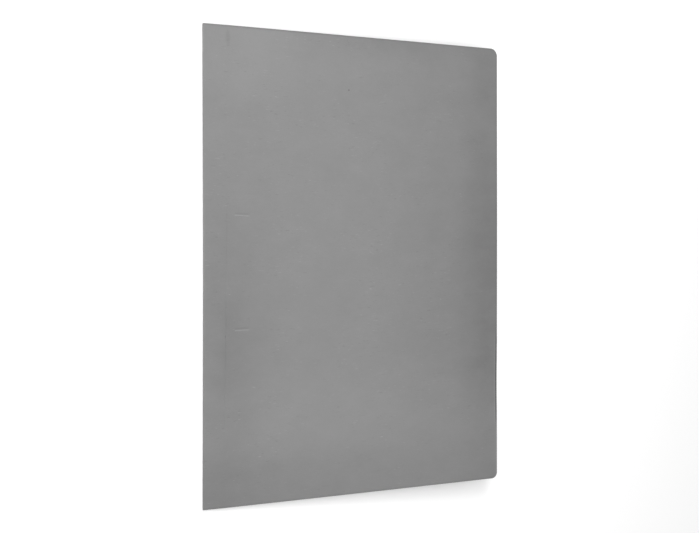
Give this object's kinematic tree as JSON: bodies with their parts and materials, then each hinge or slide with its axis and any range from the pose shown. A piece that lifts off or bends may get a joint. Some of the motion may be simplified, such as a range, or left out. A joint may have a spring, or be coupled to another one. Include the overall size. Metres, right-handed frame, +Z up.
{
  "type": "file folder",
  "caption": "Folded card file folder lying on its plain back cover, its front cover sprung a little open, with a scored crease and fastener slits beside the fold.",
  "frame": {"origin": "on the surface the folder lies on, under the middle of its box", "axes": "+X from the fold to the free edges, +Y along the fold to the top of the covers, +Z up through the front cover"},
  "size_m": [0.25, 0.335, 0.0165],
  "materials": {
    "grey_card": "matt, fine fibre, uncoated"
  },
  "bodies": {
    "root": {"folded_card": "grey_card"}
  },
  "joints": []
}
